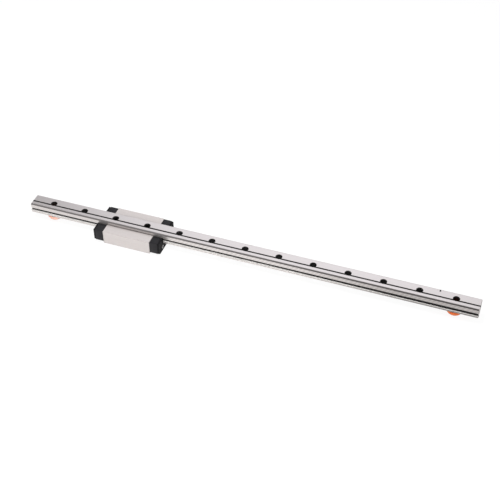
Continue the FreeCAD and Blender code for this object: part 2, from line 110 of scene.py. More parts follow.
class NodeTree:
    """Short calls for the node tree of one material or world."""

    def __init__(self, tree: bpy.types.NodeTree) -> None:
        """Clears a tree and starts afresh.

        Args:
            tree: The node tree of a material or of the world.
        """
        self.tree = tree
        tree.nodes.clear()

    def link(self, source: bpy.types.NodeSocket, target: bpy.types.NodeSocket) -> None:
        """Links an output to an input.

        Args:
            source: The output.
            target: The input.
        """
        self.tree.links.new(source, target)

    def add(self, kind: str, **settings: object) -> bpy.types.Node:
        """Adds a node.

        Args:
            kind: The node's class name after "ShaderNode".
            **settings: Attributes of the node.

        Returns:
            The new node.
        """
        node = self.tree.nodes.new("ShaderNode" + kind)
        for name, value in settings.items():
            setattr(node, name, value)
        return node

    def feed(self, socket: bpy.types.NodeSocket, value: object) -> None:
        """Links an output to an input, or sets the input's own value.

        Args:
            socket: The input.
            value: An output, or a number or colour that the input takes.
        """
        if isinstance(value, bpy.types.NodeSocket):
            self.link(value, socket)
        else:
            socket.default_value = value

    def put(self, node: bpy.types.Node, **values: object) -> bpy.types.Node:
        """Feeds a node's inputs, by name with underscores for spaces.

        Args:
            node: The node to set.
            **values: What each input gets.

        Returns:
            The same node.
        """
        for name, value in values.items():
            self.feed(node.inputs[name.replace("_", " ")], value)
        return node

    def math(self, operation: str, *values: Bound) -> bpy.types.NodeSocket:
        """Adds a math node.

        Args:
            operation: The node's operation.
            *values: Numbers or outputs, one for each input.

        Returns:
            The node's output.
        """
        node = self.add("Math", operation=operation)
        for number, value in enumerate(values):
            self.feed(node.inputs[number], value)
        return node.outputs[0]

    def every(self, *masks: bpy.types.NodeSocket) -> bpy.types.NodeSocket:
        """Keeps what all masks have in common.

        Args:
            *masks: Outputs between zero and one.

        Returns:
            Their product.
        """
        return reduce(lambda first, second: self.math("MULTIPLY", first, second), masks)

    def either(self, *masks: bpy.types.NodeSocket) -> bpy.types.NodeSocket:
        """Joins masks into one.

        Args:
            *masks: Outputs between zero and one.

        Returns:
            The greatest of them.
        """
        return reduce(lambda first, second: self.math("MAXIMUM", first, second), masks)

    def distance(
        self, first: bpy.types.NodeSocket, second: bpy.types.NodeSocket
    ) -> bpy.types.NodeSocket:
        """Finds how far a point lies from a centre.

        Args:
            first: Its offset along one axis.
            second: Its offset along another axis.

        Returns:
            The distance.
        """
        squares = [self.math("MULTIPLY", offset, offset) for offset in (first, second)]
        return self.math("SQRT", self.math("ADD", *squares))

    def between(
        self, value: bpy.types.NodeSocket, low: Bound, high: Bound
    ) -> bpy.types.NodeSocket:
        """Tells where a value lies between two bounds.

        Args:
            value: The value.
            low: Lower bound.
            high: Upper bound.

        Returns:
            One between the bounds and zero elsewhere.
        """
        return self.every(
            self.math("GREATER_THAN", value, low), self.math("LESS_THAN", value, high)
        )

    def share(
        self, value: bpy.types.NodeSocket, low: float, high: float
    ) -> bpy.types.NodeSocket:
        """Runs a value from zero to one between two bounds, softly.

        Args:
            value: The value.
            low: Where the share is zero.
            high: Where the share is one.

        Returns:
            The share, held at zero and at one outside the bounds.
        """
        node = self.add("MapRange", interpolation_type="SMOOTHSTEP")
        self.put(node, From_Min=low, From_Max=high, Value=value)
        return node.outputs["Result"]

    def ramp(
        self,
        factor: bpy.types.NodeSocket,
        low: float,
        high: float,
        start: Triple,
        end: Triple,
    ) -> bpy.types.NodeSocket:
        """Runs a value through a two-colour ramp.

        Args:
            factor: The value.
            low: Value at the first colour.
            high: Value at the second colour.
            start: First colour.
            end: Second colour.

        Returns:
            The ramp's colour output.
        """
        node = self.add("ValToRGB")
        first, last = node.color_ramp.elements
        first.position, last.position = low, high
        first.color, last.color = (*start, 1.0), (*end, 1.0)
        self.link(factor, node.inputs["Fac"])
        return node.outputs["Color"]

    def blend(
        self, factor: bpy.types.NodeSocket, first: Tone, second: Tone
    ) -> bpy.types.NodeSocket:
        """Blends two colours.

        Args:
            factor: Share of the second colour.
            first: An output or a colour.
            second: An output or a colour.

        Returns:
            The blended colour.
        """
        node = self.put(self.add("MixRGB"), Fac=factor)
        for name, tone in (("Color1", first), ("Color2", second)):
            value = (*tone, 1.0) if isinstance(tone, tuple) else tone
            self.feed(node.inputs[name], value)
        return node.outputs["Color"]

    def noise(self, cells: Triple, detail: float) -> bpy.types.NodeSocket:
        """Adds noise on the object's own coordinates, drawn out where its scales differ.

        Args:
            cells: Cells per metre along X, Y and Z.
            detail: Detail of the noise.

        Returns:
            The noise's value.
        """
        place = self.add("TexCoord").outputs["Object"]
        spread = self.put(self.add("Mapping"), Scale=cells, Vector=place)
        noise = self.put(
            self.add("TexNoise"),
            Scale=1.0,
            Detail=detail,
            Roughness=NOISE_ROUGHNESS,
            Vector=spread.outputs["Vector"],
        )
        return noise.outputs["Fac"]

    def axes(self) -> tuple[bpy.types.NodeSocket, ...]:
        """Splits the object's own coordinates.

        Returns:
            The X, Y and Z outputs.
        """
        place = self.add("TexCoord").outputs["Object"]
        return tuple(self.put(self.add("SeparateXYZ"), Vector=place).outputs)

    def finish(self, kind: str, surface: bpy.types.NodeSocket) -> None:
        """Adds the output node.

        Args:
            kind: "OutputMaterial" or "OutputWorld".
            surface: The shader to show.
        """
        self.put(self.add(kind), Surface=surface)


def shade(colour: Triple, factor: float) -> Triple:
    """Makes a colour lighter or darker.

    Args:
        colour: The colour.
        factor: What to multiply it by.

    Returns:
        The new colour.
    """
    return (colour[0] * factor, colour[1] * factor, colour[2] * factor)


def new_tree(name: str) -> tuple[bpy.types.Material, NodeTree]:
    """Makes an empty material.

    Args:
        name: Name of the material.

    Returns:
        The material and its tree.
    """
    material = bpy.data.materials.new(name)
    material.use_nodes = True
    return material, NodeTree(material.node_tree)


@dataclass(frozen=True)
class Recesses:
    """Where the rail is cut or marked, for the painted shade in its recesses and the
    painted light on its tracks' lower parts.
    """

    hole_pitch: float = 15.0 * MM
    hole_radius: float = 1.51 * MM
    counterbore_radius: float = 2.14 * MM
    counterbore_roof: float = 5.52 * MM
    mounting_face: float = 7.985 * MM
    line_offset: float = 1.04 * MM
    line_half_width: float = 0.4 * MM
    line_floor: float = 7.78 * MM
    track_low: float = 4.24 * MM
    track_middle: float = 4.61 * MM
    track_high: float = 5.94 * MM
    track_depth: float = 2.6 * MM
    # How far the painted shade in the tracks grows down towards the right.
    painted_shade_spread: float = 0.17 * MM
    spread_start: float = 5.0 * MM
    spread_end: float = 80.0 * MM
    flank: float = 3.492 * MM
    rail_half_length: float = 99.7 * MM
    mark_along: float = 83.0 * MM
    mark_across: float = 2.35 * MM
    mark_length: float = 0.36 * MM
    mark_width: float = 0.58 * MM

    def painted_shade(self, tree: NodeTree) -> bpy.types.NodeSocket:
        """Marks the painted shade in the holes, the datum line's groove and the tracks'
        upper parts, and the dark punch mark.

        Args:
            tree: The material's tree.

        Returns:
            One on these dark places and zero elsewhere.
        """
        track = self._track(tree, self._painted_shade_edge(tree), self.track_high)
        return tree.either(self._holes(tree), self._line(tree), self._mark(tree), track)

    def painted_light(self, tree: NodeTree) -> bpy.types.NodeSocket:
        """Marks the tracks' lower parts, where a pale matte tone is painted as light, below
        the painted shade.

        Args:
            tree: The material's tree.

        Returns:
            One on them and zero elsewhere.
        """
        return self._track(tree, self.track_low, self._painted_shade_edge(tree))

    def _holes(self, tree: NodeTree) -> bpy.types.NodeSocket:
        """Marks the row of screw holes with their counterbores, where shade is painted.

        Args:
            tree: The material's tree.

        Returns:
            One inside them and zero elsewhere.
        """
        along, across, up = tree.axes()
        half = self.hole_pitch / 2
        step = tree.math("FLOORED_MODULO", tree.math("ADD", along, half), self.hole_pitch)
        radius = tree.distance(tree.math("SUBTRACT", step, half), across)
        bore = tree.every(
            tree.math("LESS_THAN", radius, self.hole_radius),
            tree.math("LESS_THAN", up, self.mounting_face),
        )
        counterbore = tree.every(
            tree.math("LESS_THAN", radius, self.counterbore_radius),
            tree.math("LESS_THAN", up, self.counterbore_roof),
        )
        return tree.either(bore, counterbore)

    def _line(self, tree: NodeTree) -> bpy.types.NodeSocket:
        """Marks the datum line's groove, where shade is painted.

        Args:
            tree: The material's tree.

        Returns:
            One inside it and zero elsewhere.
        """
        _, across, up = tree.axes()
        near = -self.line_offset - self.line_half_width
        far = -self.line_offset + self.line_half_width
        return tree.every(
            tree.between(across, near, far),
            tree.between(up, self.line_floor, self.mounting_face),
        )

    def _mark(self, tree: NodeTree) -> bpy.types.NodeSocket:
        """Marks the small oval punch mark on the mounting face.

        Args:
            tree: The material's tree.

        Returns:
            One on the mark and zero elsewhere.
        """
        along, across, up = tree.axes()
        offsets = [
            tree.math("DIVIDE", tree.math("SUBTRACT", axis, place), reach)
            for axis, place, reach in (
                (along, self.mark_along, self.mark_length),
                (across, self.mark_across, self.mark_width),
            )
        ]
        return tree.every(
            tree.math("LESS_THAN", tree.distance(*offsets), 1.0),
            tree.math("GREATER_THAN", up, self.mounting_face),
        )

    def _painted_shade_edge(self, tree: NodeTree) -> bpy.types.NodeSocket:
        """Finds the height down to which a track's shade is painted, which falls to the
        right as the painted shade grows.

        Args:
            tree: The material's tree.

        Returns:
            The height.
        """
        spread = tree.share(tree.axes()[0], self.spread_start, self.spread_end)
        return tree.math("MULTIPLY_ADD", spread, -self.painted_shade_spread, self.track_middle)

    def _track(self, tree: NodeTree, low: Bound, high: Bound) -> bpy.types.NodeSocket:
        """Marks the ground tracks between two heights.

        Args:
            tree: The material's tree.
            low: Lower height.
            high: Upper height.

        Returns:
            One inside the tracks there and zero elsewhere.
        """
        along, across, up = tree.axes()
        return tree.every(
            tree.between(up, low, high),
            tree.between(tree.math("ABSOLUTE", across), self.track_depth, self.flank),
            tree.math("LESS_THAN", tree.math("ABSOLUTE", along), self.rail_half_length),
        )


@dataclass(frozen=True)
class Seam:
    """Where shade is painted on the block: in its channel round the rail and on both of the
    channel's lips.
    """

    lip: float = 3.8 * MM
    middle: float = -51.65 * MM
    half_length: float = 10.8 * MM

    def painted_shade(self, tree: NodeTree) -> bpy.types.NodeSocket:
        """Marks the painted shade in the channel and on its lips, short of the block's
        ends.

        Args:
            tree: The material's tree.

        Returns:
            One there and zero elsewhere.
        """
        along, across, _ = tree.axes()
        offset = tree.math("SUBTRACT", along, self.middle)
        return tree.every(
            tree.math("LESS_THAN", tree.math("ABSOLUTE", across), self.lip),
            tree.math("LESS_THAN", tree.math("ABSOLUTE", offset), self.half_length),
        )


@dataclass(frozen=True)
class Flanks:
    """What sets the rail's flanks apart: satin scatter, slanted strokes, and painted shade
    on the left end and on the foot.
    """

    facing: float = 0.9
    scatter: float = 0.22
    stroke_shade: float = 0.16
    stroke_pitch: float = 1.8 * MM
    stroke_slope: float = 0.9
    stroke_wander: float = 6.0
    wander_cells: Triple = (90.0, 90.0, 90.0)
    # Level of the even painted shade that takes the strokes' place on the left end.
    painted_shade_rest: float = 0.8
    stroke_start: float = -80.0 * MM
    stroke_end: float = -10.0 * MM
    # Painted shade on the rail's foot, which grows towards the right.
    foot_height: float = 4.24 * MM
    foot_start: float = 25.0 * MM
    foot_end: float = 85.0 * MM
    foot_shade: float = 0.34

    def across(self, tree: NodeTree) -> bpy.types.NodeSocket:
        """Marks the faces that look across the rail.

        Args:
            tree: The material's tree.

        Returns:
            One on them and zero elsewhere.
        """
        normal = tree.add("NewGeometry").outputs["True Normal"]
        parts = tree.put(tree.add("SeparateXYZ"), Vector=normal)
        turned = tree.math("ABSOLUTE", parts.outputs["Y"])
        return tree.math("GREATER_THAN", turned, self.facing)

    def strokes(self, tree: NodeTree) -> bpy.types.NodeSocket:
        """Draws slanted grinding strokes, which give way towards the left end to an even
        painted shade at the rest value.

        Args:
            tree: The material's tree.

        Returns:
            A value that rises and falls between zero and one.
        """
        along, _, up = tree.axes()
        place = tree.math("MULTIPLY_ADD", up, -self.stroke_slope, along)
        turns = tree.math("MULTIPLY", place, 2 * math.pi / self.stroke_pitch)
        wander = tree.noise(self.wander_cells, detail=1.0)
        turns = tree.math("MULTIPLY_ADD", wander, self.stroke_wander, turns)
        wave = tree.math("MULTIPLY_ADD", tree.math("SINE", turns), 0.5, 0.5)
        swing = tree.math("SUBTRACT", wave, self.painted_shade_rest)
        shown = tree.share(along, self.stroke_start, self.stroke_end)
        return tree.math("MULTIPLY_ADD", swing, shown, self.painted_shade_rest)

    def painted_foot_shade(self, tree: NodeTree) -> bpy.types.NodeSocket:
        """Paints shade on the foot of the rail, which grows to the right.

        Args:
            tree: The material's tree.

        Returns:
            The painted shade's share on the foot, and zero above it.
        """
        along, _, up = tree.axes()
        grown = tree.share(along, self.foot_start, self.foot_end)
        low = tree.math("LESS_THAN", up, self.foot_height)
        return tree.math("MULTIPLY", tree.every(grown, low), self.foot_shade)


@dataclass(frozen=True)
class Grain:
    """One layer of noise: its cells per metre, its detail and its share of the whole."""

    cells: Triple
    detail: float
    share: float


@dataclass(frozen=True)
class GroundSteel:
    """Steel ground along X: fine streaks in colour, roughness and relief."""

    name: str
    colour: Triple
    roughness: float = 0.3
    roughness_spread: float = 0.12
    streak: float = 0.05
    streak_low: float = 0.3
    streak_high: float = 0.7
    metallic: float = 1.0
    relief: float = 0.2
    relief_depth: float = 0.02 * MM
    fine: Grain = Grain((150.0, 9000.0, 9000.0), 3.0, 0.55)
    broad: Grain = Grain((25.0, 900.0, 900.0), 2.0, 0.3)
    cloud: Grain = Grain((60.0, 60.0, 60.0), 1.0, 0.15)
    flanks: Flanks | None = None
    recesses: Recesses | Seam | None = None
    # Painted shade colour for recesses and the punch mark, a pale painted light for the
    # tracks' lower parts, and the roughness and lost metal of both.
    painted_shade_colour: Triple = (0.012, 0.011, 0.011)
    painted_light: Triple = (0.96, 0.93, 0.90)
    painted_place_roughness: float = 0.3
    painted_place_matte: float = 0.9

    def build(self) -> bpy.types.Material:
        """Builds the finish.

        Returns:
            The new material.
        """
        material, tree = new_tree(self.name)
        grind = self._grind(tree)
        colour = tree.ramp(
            grind,
            self.streak_low,
            self.streak_high,
            shade(self.colour, 1.0 - self.streak),
            shade(self.colour, 1.0 + self.streak),
        )
        least = self.roughness - self.roughness_spread / 2
        rough = tree.math("MULTIPLY_ADD", grind, self.roughness_spread, least)
        metal: Bound = self.metallic
        if self.flanks:
            across = self.flanks.across(tree)
            # Grinding strokes, held at an even painted shade towards the left end.
            strokes = tree.every(self.flanks.strokes(tree), across)
            darker = shade(self.colour, 1.0 - self.flanks.stroke_shade)
            colour = tree.blend(strokes, colour, darker)
            # Painted shade on the rail's foot, darker towards the right.
            painted_foot_shade = tree.every(self.flanks.painted_foot_shade(tree), across)
            colour = tree.blend(painted_foot_shade, colour, BLACK)
            metal = tree.math("MULTIPLY_ADD", across, -self.flanks.scatter, metal)
        if self.recesses:
            # Painted shade in the rail's recesses and in the block's channel.
            painted = self.recesses.painted_shade(tree)
            colour = tree.blend(painted, colour, self.painted_shade_colour)
            if isinstance(self.recesses, Recesses):
                # A pale matte tone painted as light on the tracks' lower parts.
                painted_light = self.recesses.painted_light(tree)
                colour = tree.blend(painted_light, colour, self.painted_light)
                painted = tree.either(painted, painted_light)
            rough = tree.math("MULTIPLY_ADD", painted, self.painted_place_roughness, rough)
            kept_metal = tree.math("MULTIPLY_ADD", painted, -self.painted_place_matte, 1.0)
            metal = tree.math("MULTIPLY", kept_metal, metal)
        bump = tree.put(
            tree.add("Bump"), Strength=self.relief, Distance=self.relief_depth, Height=grind
        )
        surface = tree.put(
            tree.add("BsdfPrincipled"),
            Base_Color=colour,
            Metallic=metal,
            Roughness=rough,
            Normal=bump.outputs["Normal"],
        )
        tree.finish("OutputMaterial", surface.outputs["BSDF"])
        return material

    def _grind(self, tree: NodeTree) -> bpy.types.NodeSocket:
        """Adds up the layers of noise.

        Args:
            tree: The material's tree.

        Returns:
            Their sum, about one half on average.
        """
        total: Bound = 0.0
        for grain in (self.fine, self.broad, self.cloud):
            layer = tree.noise(grain.cells, grain.detail)
            total = tree.math("MULTIPLY_ADD", layer, grain.share, total)
        return total


@dataclass(frozen=True)
class Moulding:
    """Moulded plastic or rubber with a fine eroded texture."""

    name: str
    colour: Triple
    roughness: float
    gloss: float
    grain: float
    grain_cells: Triple = (5000.0, 5000.0, 5000.0)
    grain_depth: float = 0.03 * MM
    flow_cells: Triple = (250.0, 180.0, 220.0)
    flow_low: float = 0.25
    flow_high: float = 0.75
    noise_detail: float = 2.0
    roughness_spread: float = 0.1
    tint: float = 0.08
    depth: float = 0.0
    depth_scale: float = 1.5 * MM

    def build(self) -> bpy.types.Material:
        """Builds the finish.

        Returns:
            The new material.
        """
        material, tree = new_tree(self.name)
        grain = tree.noise(self.grain_cells, self.noise_detail)
        flow = tree.noise(self.flow_cells, self.noise_detail)
        colour = tree.ramp(
            flow,
            self.flow_low,
            self.flow_high,
            shade(self.colour, 1.0 - self.tint),
            shade(self.colour, 1.0 + self.tint),
        )
        least = self.roughness - self.roughness_spread / 2
        rough = tree.math("MULTIPLY_ADD", flow, self.roughness_spread, least)
        bump = tree.put(
            tree.add("Bump"), Strength=self.grain, Distance=self.grain_depth, Height=grain
        )
        surface = tree.put(
            tree.add("BsdfPrincipled"),
            Base_Color=colour,
            Roughness=rough,
            Specular_IOR_Level=self.gloss,
            Subsurface_Weight=self.depth,
            Subsurface_Scale=self.depth_scale,
            Normal=bump.outputs["Normal"],
        )
        tree.finish("OutputMaterial", surface.outputs["BSDF"])
        return material


RAIL_STEEL = GroundSteel(
    "rail_ground_steel", (0.745, 0.697, 0.680), flanks=Flanks(), recesses=Recesses()
)
BLOCK_STEEL = GroundSteel(
    "block_ground_steel",
    (0.59, 0.545, 0.53),
    roughness=0.36,
    streak=0.035,
    metallic=0.3,
    recesses=Seam(),
)
BALL_STEEL = GroundSteel(
    "ball_polished_steel", (0.75, 0.75, 0.76), roughness=0.1, streak=0.02, relief=0.02
)
SCREW_STEEL = GroundSteel(
    "screw_bright_steel", (0.38, 0.375, 0.37), roughness=0.32, relief=0.1
)
CAP_PLASTIC = Moulding(
    "cap_black_plastic", (0.018, 0.017, 0.019), roughness=0.42, gloss=0.18, grain=0.15
)
SEAL_RUBBER = Moulding(
    "seal_black_rubber", (0.014, 0.0135, 0.0145), roughness=0.6, gloss=0.04, grain=0.25
)
PLUG_PLASTIC = Moulding(
    "plug_orange_plastic",
    (0.70, 0.147, 0.027),
    roughness=0.38,
    gloss=0.45,
    grain=0.08,
    depth=0.3,
)
# The left plug is the same orange plastic painted paler: a painted light.
PAINTED_LIGHT_PLUG_PLASTIC = replace(
    PLUG_PLASTIC, name="plug_painted_light_plastic", colour=(0.81, 0.468, 0.365)
)

Finish = GroundSteel | Moulding


class Finishes:
    """The built materials, each made once."""

    def __init__(self) -> None:
        """Starts with no material built."""
        self._built: dict[str, bpy.types.Material] = {}

    def get(self, finish: Finish) -> bpy.types.Material:
        """Finds or builds the material of a finish.

        Args:
            finish: The finish.

        Returns:
            Its material.
        """
        if finish.name not in self._built:
            self._built[finish.name] = finish.build()
        return self._built[finish.name]

    def dress(self, node: str, finish: Finish) -> None:
        """Gives a carried-over solid its finish.

        Args:
            node: Name of the solid.
            finish: The finish.
        """
        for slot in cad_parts[node].material_slots:
            slot.material = self.get(finish)
        LOG.info("dressed %s in %s", node, finish.name)


FINISHES = Finishes()


def add_piece(
    name: str,
    shape: bmesh.types.BMesh,
    finish: Finish,
    body: Body,
    smooth: float = 30.0,
) -> None:
    """Turns a shape into a dressed object that rides on a body.

    Args:
        name: Name of the solid that it replaces, which it takes with "_shown" added.
        shape: The mesh, freed here.
        finish: The piece's finish.
        body: The body it rides on.
        smooth: Angle in degrees under which edges are shaded smooth.
    """
    bmesh.ops.remove_doubles(shape, verts=shape.verts, dist=MERGE_DISTANCE)
    bmesh.ops.recalc_face_normals(shape, faces=shape.faces)
    for edge in shape.edges:
        edge.smooth = edge.calc_face_angle(math.pi) < math.radians(smooth)
    for face in shape.faces:
        face.smooth = True
    mesh = bpy.data.meshes.new(name + "_shown")
    shape.to_mesh(mesh)
    count = len(shape.faces)
    shape.free()
    mesh.materials.append(FINISHES.get(finish))
    piece = bpy.data.objects.new(name + "_shown", mesh)
    bpy.context.collection.objects.link(piece)
    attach(piece, body.value)
    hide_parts(name)
    LOG.info("built %s: %d faces on %s", piece.name, count, body.value)


def bevel(
    shape: bmesh.types.BMesh,
    edges: list[bmesh.types.BMEdge],
    width: float,
    segments: int = 1,
    clamp: bool = False,
) -> None:
    """Bevels edges.

    Args:
        shape: The mesh.
        edges: The edges.
        width: Width of the bevel on each side of an edge.
        segments: Steps of the bevel: one makes it flat, more make it round.
        clamp: Whether the bevel is narrowed where it has no room.
    """
    bmesh.ops.bevel(
        shape,
        geom=edges,
        offset=width,
        offset_type="OFFSET",
        affect="EDGES",
        segments=segments,
        profile=0.5,
        material=-1,
        clamp_overlap=clamp,
    )


def soften(shape: bmesh.types.BMesh, width: float) -> None:
    """Rounds every edge that is sharper than SHARP_EDGE.

    Args:
        shape: The mesh.
        width: Width of the round.
    """
    sharp = [
        edge
        for edge in shape.edges
        if len(edge.link_faces) == 2 and edge.calc_face_angle() > SHARP_EDGE
    ]
    bevel(shape, sharp, width, segments=2, clamp=True)


def lies_at(face: bmesh.types.BMFace, along: float) -> bool:
    """Tells whether a face lies square to the rail at one place.

    Args:
        face: The face.
        along: The place along the rail.

    Returns:
        True where all the face's corners are there.
    """
    return all(abs(vert.co.x - along) < SAME_PLACE for vert in face.verts)


def slice_plane(shape: bmesh.types.BMesh, point: Triple, normal: Triple) -> None:
    """Cuts the faces of a mesh along a plane and keeps both sides.

    Args:
        shape: The mesh.
        point: A point of the plane.
        normal: The plane's normal.
    """
    bmesh.ops.bisect_plane(
        shape,
        geom=shape.verts[:] + shape.edges[:] + shape.faces[:],
        plane_co=point,
        plane_no=normal,
        dist=CUT_TOLERANCE,
    )


@dataclass
class Saddle:
    """Plate with a channel for the rail, at one end of the carriage."""

    end: End
    inner_face: float
    thickness: float
    half_width: float
    low: float
    high: float
    channel_half: float
    roof: float
    round: float
    mount_corner: float = 0.8 * MM
    skirt_corner: float = 0.12 * MM
    block_middle: float = -51.65 * MM

    @property
    def inner(self) -> float:
        """Where the face towards the block lies along the rail."""
        return self.block_middle + self.end.value * self.inner_face

    @property
    def outer(self) -> float:
        """Where the face away from the block lies along the rail."""
        return self.inner + self.end.value * self.thickness

    def blank(self) -> bmesh.types.BMesh:
        """Cuts the plate from a block: outer corners, channel, and a round on each edge.

        Returns:
            The plate's mesh.
        """
        shape = bmesh.new()
        bmesh.ops.create_cube(shape, size=1.0)
        middle = Vector(((self.inner + self.outer) / 2, 0.0, (self.low + self.high) / 2))
        spread = (abs(self.outer - self.inner), 2 * self.half_width, self.high - self.low)
        bmesh.ops.scale(shape, vec=spread, verts=shape.verts)
        bmesh.ops.translate(shape, vec=middle, verts=shape.verts)
        chamfers = ((self.low, self.mount_corner), (self.high, self.skirt_corner))
        for height, width in chamfers:
            corners = [
                edge
                for edge in shape.edges
                if abs((edge.verts[0].co - edge.verts[1].co).x) > SAME_PLACE
                and all(
                    abs(vert.co.z - height) < SAME_PLACE
                    and abs(abs(vert.co.y) - self.half_width) < SAME_PLACE
                    for vert in edge.verts
                )
            ]
            bevel(shape, corners, width)
        self._open_channel(shape)
        soften(shape, self.round)
        return shape

    def _open_channel(self, shape: bmesh.types.BMesh) -> None:
        """Takes the channel out of the plate.

        Args:
            shape: The plate's mesh.
        """
        slice_plane(shape, (0.0, 0.0, self.roof), (0.0, 0.0, 1.0))
        for side in (-1, 1):
            slice_plane(shape, (0.0, side * self.channel_half, 0.0), (0.0, 1.0, 0.0))
        waste = [
            face
            for face in shape.faces
            if abs(face.calc_center_median().y) < self.channel_half
            and face.calc_center_median().z > self.roof + SAME_PLACE
        ]
        bmesh.ops.delete(shape, geom=waste, context="FACES")
        rims = [
            edge
            for edge in shape.edges
            if edge.is_boundary
            and abs((edge.verts[0].co - edge.verts[1].co).x) < SAME_PLACE
        ]
        bmesh.ops.bridge_loops(shape, edges=rims)


@dataclass
class EndCap(Saddle):
    """Moulded cap that turns the balls round, beside the steel body."""

    inner_face: float = 10.9 * MM
    thickness: float = 3.7 * MM
    half_width: float = 8.3 * MM
    low: float = 0.15 * MM
    high: float = 6.4 * MM
    channel_half: float = 3.75 * MM
    roof: float = 2.95 * MM
    round: float = 0.07 * MM

    def build(self) -> None:
        """Builds and dresses the cap."""
        name = f"end_cap_{self.end.label}"
        add_piece(name, self.blank(), CAP_PLASTIC, Body.CARRIAGE)


@dataclass
class EndSeal(Saddle):
    """Wiper plate outside an end cap, with a sunk panel and two screw seats."""

    inner_face: float = 14.6 * MM
    thickness: float = 0.8 * MM
    half_width: float = 8.18 * MM
    low: float = 0.27 * MM
    high: float = 6.28 * MM
    channel_half: float = 3.58 * MM
    roof: float = 3.12 * MM
    round: float = 0.05 * MM
    panel_border: float = 0.3 * MM
    panel_depth: float = 0.12 * MM
    screw_across: float = 3.9 * MM
    screw_height: float = 1.695 * MM
    seat_radius: float = 0.955 * MM
    seat_margin: float = 0.08 * MM
    seat_depth: float = 0.55 * MM
    seat_cuts: int = 5

    def build(self) -> None:
        """Builds and dresses the seal."""
        shape = self.blank()
        panel = self._sink_panel(shape)
        for across in (-self.screw_across, self.screw_across):
            self._sink_seat(shape, panel, across)
        name = f"end_seal_{self.end.label}"
        add_piece(name, shape, SEAL_RUBBER, Body.CARRIAGE)

    def _sink_panel(self, shape: bmesh.types.BMesh) -> float:
        """Sinks the outer face inside a border.

        Args:
            shape: The plate's mesh.

        Returns:
            Where the sunk panel lies along the rail.
        """
        flat = [face for face in shape.faces if lies_at(face, self.outer)]
        bmesh.ops.dissolve_faces(shape, faces=flat, use_verts=True)
        flat = [face for face in shape.faces if lies_at(face, self.outer)]
        bmesh.ops.inset_region(shape, faces=flat, thickness=self.panel_border)
        depth = -self.end.value * self.panel_depth
        corners = {vert for face in flat for vert in face.verts}
        bmesh.ops.translate(shape, verts=list(corners), vec=(depth, 0.0, 0.0))
        return self.outer + depth

    def _sink_seat(self, shape: bmesh.types.BMesh, panel: float, across: float) -> None:
        """Sinks a round seat for a screw's head into the panel.

        Args:
            shape: The plate's mesh.
            panel: Where the panel lies along the rail.
            across: Where the screw lies across the rail.
        """
        middle = Vector((panel, across, self.screw_height))
        reach = self.seat_radius + self.seat_margin
        for axis in (Vector((0.0, 1.0, 0.0)), Vector((0.0, 0.0, 1.0))):
            for way in (-1, 1):
                flat = [face for face in shape.faces if lies_at(face, panel)]
                edges = {edge for face in flat for edge in face.edges}
                corners = {vert for face in flat for vert in face.verts}
                bmesh.ops.bisect_plane(
                    shape,
                    geom=flat + list(edges) + list(corners),
                    plane_co=middle + axis * way * reach,
                    plane_no=axis,
                    dist=CUT_TOLERANCE,
                )
        square = self._nearest(shape, panel, middle)
        bmesh.ops.subdivide_edges(shape, edges=square.edges[:], cuts=self.seat_cuts)
        square = self._nearest(shape, panel, middle)
        bmesh.ops.inset_region(shape, faces=[square], thickness=self.seat_margin)
        for vert in square.verts:
            vert.co = middle + (vert.co - middle).normalized() * self.seat_radius
        sunk = bmesh.ops.extrude_face_region(shape, geom=[square])
        bmesh.ops.delete(shape, geom=[square], context="FACES_ONLY")
        floor = [item for item in sunk["geom"] if isinstance(item, bmesh.types.BMVert)]
        bmesh.ops.translate(
            shape, verts=floor, vec=(-self.end.value * self.seat_depth, 0.0, 0.0)
        )

    def _nearest(
        self, shape: bmesh.types.BMesh, panel: float, middle: Vector
    ) -> bmesh.types.BMFace:
        """Finds the panel's face that is nearest to a point.

        Args:
            shape: The plate's mesh.
            panel: Where the panel lies along the rail.
            middle: The point.

        Returns:
            The face.
        """
        return min(
            (face for face in shape.faces if lies_at(face, panel)),
            key=lambda face: (face.calc_center_median() - middle).length,
        )


